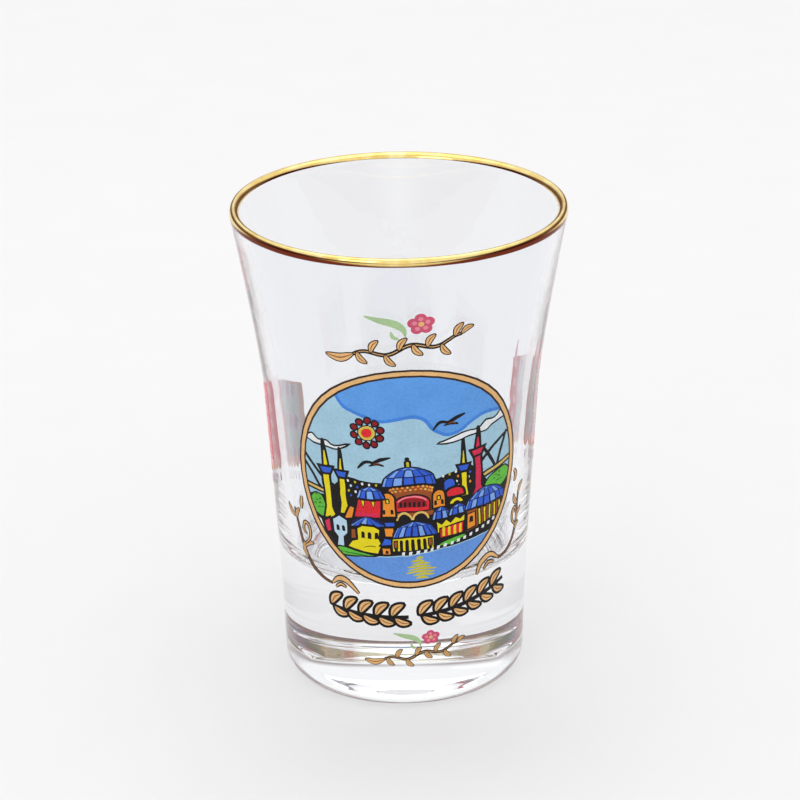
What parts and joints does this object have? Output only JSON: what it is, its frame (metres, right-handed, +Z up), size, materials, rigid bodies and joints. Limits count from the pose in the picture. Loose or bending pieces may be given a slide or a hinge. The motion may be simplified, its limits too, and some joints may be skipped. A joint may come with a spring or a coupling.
{
  "type": "shot glass",
  "caption": "Clear flared glass for a small measure of drink, with a solid heavy base, a gold lip and printed ornament round a picture of a domed waterfront town.",
  "frame": {"origin": "centre of the foot, on the plane that the glass stands on", "axes": "+Z up along the glass's axis; the front, with the round picture, faces -Y"},
  "size_m": [0.0484, 0.0484, 0.0722],
  "materials": {
    "clear_glass": "gloss",
    "rim_gold": "polished",
    "printed_gold": "gloss",
    "black_ink": "gloss",
    "brown_ink": "gloss",
    "sky_blue_ink": "gloss",
    "cloud_blue_ink": "gloss",
    "sea_blue_ink": "gloss",
    "dome_blue_ink": "gloss",
    "yellow_ink": "gloss",
    "orange_ink": "gloss",
    "red_ink": "gloss",
    "crimson_ink": "gloss",
    "green_ink": "gloss",
    "pale_blue_ink": "gloss",
    "leaf_green_ink": "gloss",
    "rose_ink": "gloss",
    "rug_red_ink": "gloss",
    "rug_grey_ink": "gloss",
    "rug_tan_ink": "gloss"
  },
  "bodies": {
    "root": {"glass_body": "clear_glass", "rim_band": "rim_gold", "picture_sky": "sky_blue_ink", "cloud_band": "cloud_blue_ink", "sea": "sea_blue_ink", "town_silhouette": "black_ink", "sun": "crimson_ink", "bird_left": "black_ink", "bird_right": "black_ink", "tower_1": "yellow_ink", "tower_2": "yellow_ink", "tower_3": "yellow_ink", "tower_4": "crimson_ink", "central_dome": "dome_blue_ink", "facade": "red_ink", "turret_left": "orange_ink", "turret_right": "orange_ink", "left_dome": "dome_blue_ink", "left_drum": "red_ink", "front_dome": "dome_blue_ink", "colonnade": "yellow_ink", "right_dome": "dome_blue_ink", "right_pillars": "yellow_ink", "yellow_house": "yellow_ink", "pale_house": "pale_blue_ink", "shrub_left": "green_ink", "shrub_right": "green_ink", "ring_outline": "black_ink", "medallion_ring": "printed_gold", "garland_outline_left": "black_ink", "garland_outline_right": "black_ink", "garland_leaf_01": "printed_gold", "garland_leaf_02": "printed_gold", "garland_leaf_03": "printed_gold", "garland_leaf_04": "printed_gold", "garland_leaf_05": "printed_gold", "garland_leaf_06": "printed_gold", "garland_leaf_07": "printed_gold", "garland_leaf_08": "printed_gold", "garland_leaf_09": "printed_gold", "garland_leaf_10": "printed_gold", "garland_leaf_11": "printed_gold", "scroll_left_crescent": "printed_gold", "scroll_left_stem": "brown_ink", "scroll_left_curl": "printed_gold", "scroll_right_crescent": "printed_gold", "scroll_right_stem": "brown_ink", "scroll_right_curl": "printed_gold", "sprig_upper_blossom": "rose_ink", "sprig_upper_leaf": "leaf_green_ink", "sprig_upper_tendril": "printed_gold", "sprig_lower_blossom": "rose_ink", "sprig_lower_leaf": "leaf_green_ink", "sprig_lower_tendril": "printed_gold", "rug_left_field": "rug_tan_ink", "rug_left_red_stripe": "rug_red_ink", "rug_left_grey_stripe": "rug_grey_ink", "rug_right_field": "rug_tan_ink", "rug_right_red_stripe": "rug_red_ink", "rug_right_grey_stripe": "rug_grey_ink"}
  },
  "joints": []
}
